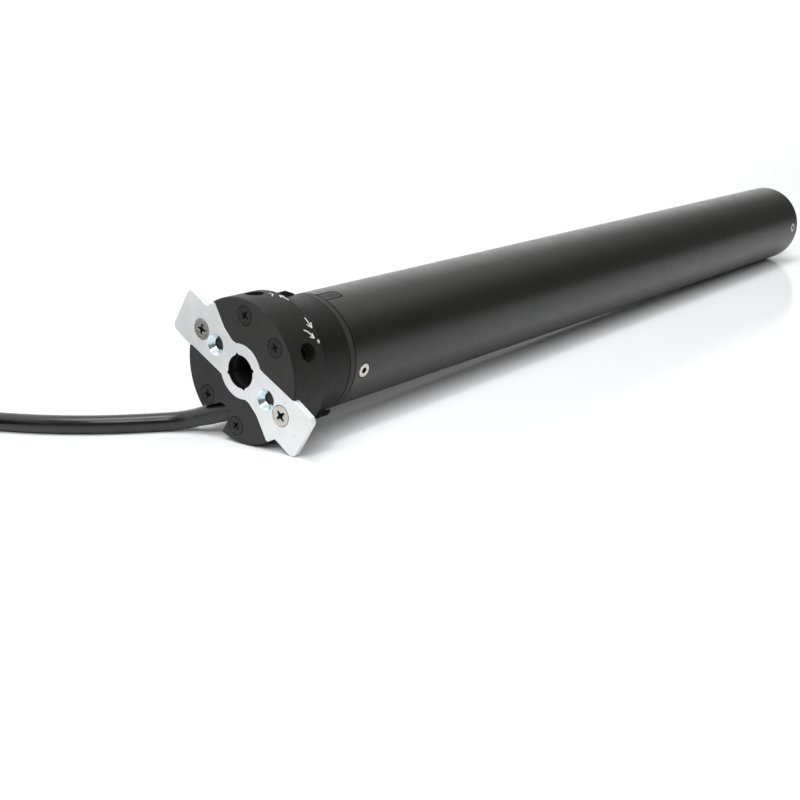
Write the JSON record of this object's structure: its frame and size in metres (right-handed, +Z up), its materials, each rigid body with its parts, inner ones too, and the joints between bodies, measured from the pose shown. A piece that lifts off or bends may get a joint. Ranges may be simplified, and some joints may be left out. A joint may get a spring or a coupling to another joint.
{
  "type": "roller shutter motor",
  "caption": "Tubular roller shutter motor: square-socket bracket plate on a round head, drive ring, black tube holding a motor, brake and planetary gearbox, output shaft and coiled mains lead.",
  "frame": {"origin": "on the motor's axis, in the front face of the head's bracket plate", "axes": "+X along the motor from the head to the output shaft, +Z up as the motor lies on a table, +Y to its left seen from the head"},
  "size_m": [0.6362, 0.2089, 0.0565],
  "materials": {
    "zinc_plate": "bright zinc plate with a faint blue cast, satin",
    "bright_screws": "bright nickelled steel, semi-gloss",
    "black_screws": "black oxide with a light sheen",
    "black_plastic": "dark charcoal moulded plastic with a fine grain, matte",
    "ring_plastic": "black moulded plastic, satin",
    "adjuster_steel": "steel, satin",
    "nylon": "natural nylon, matte",
    "red_plastic": "red moulded plastic, matte",
    "grey_plastic": "grey moulded plastic, matte",
    "tie_plastic": "black nylon tie, semi-gloss",
    "black_paint": "black powder coat on steel, satin",
    "die_cast": "die-cast zinc or aluminium, satin",
    "steel": "machined steel, satin",
    "copper": "enamelled copper wire, semi-gloss",
    "sintered": "sintered iron, dull",
    "cable_pvc": "black PVC sheath, glossy"
  },
  "bodies": {
    "motor_body": {"bracket_plate": "zinc_plate", "plate_screw_1": "bright_screws", "plate_screw_2": "bright_screws", "tube_screw_1": "bright_screws", "tube_screw_2": "bright_screws", "end_screw_1": "bright_screws", "end_screw_2": "bright_screws", "cover_screw_1": "black_screws", "cover_screw_2": "black_screws", "cover_screw_3": "black_screws", "cover_screw_4": "black_screws", "head_cover": "black_plastic", "head_body": "black_plastic", "tube_collar": "black_plastic", "limit_switch_1": "grey_plastic", "limit_switch_2": "grey_plastic", "capacitor": "grey_plastic", "coil_tie": "tie_plastic", "motor_tube": "black_paint", "rear_shield": "die_cast", "front_shield": "die_cast", "end_plug": "die_cast", "rear_bearing": "steel", "front_bearing": "steel", "stator_core": "steel", "brake_spring": "steel", "stator_winding": "copper", "brake_coil": "sintered", "ring_gear": "sintered", "output_bush": "sintered", "cable_sleeve": "cable_pvc", "cable_run": "cable_pvc", "cable_coil": "cable_pvc", "cable_tail": "cable_pvc"},
    "drive_ring": {"drive_ring": "ring_plastic"},
    "limit_spindle_1": {"limit_spindle_1": "nylon"},
    "limit_nut_1": {"limit_nut_1": "red_plastic"},
    "limit_spindle_2": {"limit_spindle_2": "nylon"},
    "limit_nut_2": {"limit_nut_2": "red_plastic"},
    "switch_button_1": {"switch_button_1": "red_plastic"},
    "switch_button_2": {"switch_button_2": "red_plastic"},
    "adjuster_screw_1": {"adjuster_screw_1": "adjuster_steel"},
    "adjuster_screw_2": {"adjuster_screw_2": "adjuster_steel"},
    "rotor": {"rotor_core": "steel", "rotor_shaft": "steel", "brake_disc": "sintered"},
    "carrier_1": {"planet_carrier_1": "steel"},
    "planet_1a": {"planet_1a": "nylon"},
    "planet_1b": {"planet_1b": "nylon"},
    "planet_1c": {"planet_1c": "nylon"},
    "carrier_2": {"planet_carrier_2": "steel"},
    "planet_2a": {"planet_2a": "sintered"},
    "planet_2b": {"planet_2b": "sintered"},
    "planet_2c": {"planet_2c": "sintered"},
    "output": {"planet_carrier_3": "sintered", "output_shaft": "steel"},
    "planet_3a": {"planet_3a": "sintered"},
    "planet_3b": {"planet_3b": "sintered"},
    "planet_3c": {"planet_3c": "sintered"},
    "brake_armature": {"brake_armature": "steel"}
  },
  "joints": [
    {"name": "ring_spin", "type": "hinge", "parent": "motor_body", "child": "drive_ring", "pos_m": [0.025, 0, 0], "axis": [1, 0, 0], "range_deg": [-2070, 2070]},
    {"name": "spindle_1_spin", "type": "hinge", "parent": "motor_body", "child": "limit_spindle_1", "pos_m": [0.03, 0.00334, 0.01027], "axis": [1, 0, 0], "range_deg": [-5180, 5180]},
    {"name": "nut_1_travel", "type": "slide", "parent": "motor_body", "child": "limit_nut_1", "axis": [1, 0, 0], "range_m": [-0.00505, 0.00505]},
    {"name": "spindle_2_spin", "type": "hinge", "parent": "motor_body", "child": "limit_spindle_2", "pos_m": [0.03, -0.01077, 0.00075], "axis": [1, 0, 0], "range_deg": [-5180, 5180]},
    {"name": "nut_2_travel", "type": "slide", "parent": "motor_body", "child": "limit_nut_2", "axis": [1, 0, 0], "range_m": [-0.00505, 0.00505]},
    {"name": "button_1_press", "type": "slide", "parent": "motor_body", "child": "switch_button_1", "axis": [1, 0, 0], "range_m": [0, 0.0005], "stiffness_N_per_m": 400, "springref_m": -0.0005},
    {"name": "button_2_press", "type": "slide", "parent": "motor_body", "child": "switch_button_2", "axis": [1, 0, 0], "range_m": [0, 0.0005], "stiffness_N_per_m": 400, "springref_m": -0.0005},
    {"name": "adjuster_1_turn", "type": "hinge", "parent": "motor_body", "child": "adjuster_screw_1", "pos_m": [0.0089, -0.01609, 0.00548], "axis": [0, -0.9466, 0.3223], "continuous": true},
    {"name": "adjuster_2_turn", "type": "hinge", "parent": "motor_body", "child": "adjuster_screw_2", "pos_m": [0.0089, -0.00015, 0.017], "axis": [0, -0.0087, 1], "continuous": true},
    {"name": "rotor_spin", "type": "hinge", "parent": "motor_body", "child": "rotor", "pos_m": [0.215, 0, 0], "axis": [1, 0, 0], "continuous": true},
    {"name": "carrier_1_spin", "type": "hinge", "parent": "motor_body", "child": "carrier_1", "pos_m": [0.339, 0, 0], "axis": [1, 0, 0], "continuous": true},
    {"name": "planet_1a_spin", "type": "hinge", "parent": "carrier_1", "child": "planet_1a", "pos_m": [0.339, 0.0108, 0], "axis": [1, 0, 0], "continuous": true},
    {"name": "planet_1b_spin", "type": "hinge", "parent": "carrier_1", "child": "planet_1b", "pos_m": [0.339, -0.0054, 0.00935], "axis": [1, 0, 0], "continuous": true},
    {"name": "planet_1c_spin", "type": "hinge", "parent": "carrier_1", "child": "planet_1c", "pos_m": [0.339, -0.0054, -0.00935], "axis": [1, 0, 0], "continuous": true},
    {"name": "carrier_2_spin", "type": "hinge", "parent": "motor_body", "child": "carrier_2", "pos_m": [0.3615, 0, 0], "axis": [1, 0, 0], "continuous": true},
    {"name": "planet_2a_spin", "type": "hinge", "parent": "carrier_2", "child": "planet_2a", "pos_m": [0.3615, 0.0108, 0], "axis": [1, 0, 0], "continuous": true},
    {"name": "planet_2b_spin", "type": "hinge", "parent": "carrier_2", "child": "planet_2b", "pos_m": [0.3615, -0.0054, 0.00935], "axis": [1, 0, 0], "continuous": true},
    {"name": "planet_2c_spin", "type": "hinge", "parent": "carrier_2", "child": "planet_2c", "pos_m": [0.3615, -0.0054, -0.00935], "axis": [1, 0, 0], "continuous": true},
    {"name": "output_spin", "type": "hinge", "parent": "motor_body", "child": "output", "pos_m": [0.4, 0, 0], "axis": [1, 0, 0], "continuous": true},
    {"name": "planet_3a_spin", "type": "hinge", "parent": "output", "child": "planet_3a", "pos_m": [0.4, 0.0108, 0], "axis": [1, 0, 0], "continuous": true},
    {"name": "planet_3b_spin", "type": "hinge", "parent": "output", "child": "planet_3b", "pos_m": [0.4, -0.0054, 0.00935], "axis": [1, 0, 0], "continuous": true},
    {"name": "planet_3c_spin", "type": "hinge", "parent": "output", "child": "planet_3c", "pos_m": [0.4, -0.0054, -0.00935], "axis": [1, 0, 0], "continuous": true},
    {"name": "brake_release", "type": "slide", "parent": "motor_body", "child": "brake_armature", "axis": [-1, 0, 0], "range_m": [0, 0.0005], "stiffness_N_per_m": 2000, "springref_m": -0.001}
  ],
  "couplings": [
    {"joint": "spindle_1_spin", "follows": "ring_spin", "ratio": 2.5},
    {"joint": "nut_1_travel", "follows": "ring_spin", "m_per_rad": 0.00013926},
    {"joint": "spindle_2_spin", "follows": "ring_spin", "ratio": 2.5},
    {"joint": "nut_2_travel", "follows": "ring_spin", "m_per_rad": -0.00013926},
    {"joint": "carrier_1_spin", "follows": "rotor_spin", "ratio": 0.16667},
    {"joint": "planet_1a_spin", "follows": "rotor_spin", "ratio": -0.41667},
    {"joint": "planet_1b_spin", "follows": "rotor_spin", "ratio": -0.41667},
    {"joint": "planet_1c_spin", "follows": "rotor_spin", "ratio": -0.41667},
    {"joint": "carrier_2_spin", "follows": "rotor_spin", "ratio": 0.027778},
    {"joint": "planet_2a_spin", "follows": "rotor_spin", "ratio": -0.069444},
    {"joint": "planet_2b_spin", "follows": "rotor_spin", "ratio": -0.069444},
    {"joint": "planet_2c_spin", "follows": "rotor_spin", "ratio": -0.069444},
    {"joint": "output_spin", "follows": "rotor_spin", "ratio": 0.0046296},
    {"joint": "planet_3a_spin", "follows": "rotor_spin", "ratio": -0.011574},
    {"joint": "planet_3b_spin", "follows": "rotor_spin", "ratio": -0.011574},
    {"joint": "planet_3c_spin", "follows": "rotor_spin", "ratio": -0.011574}
  ]
}
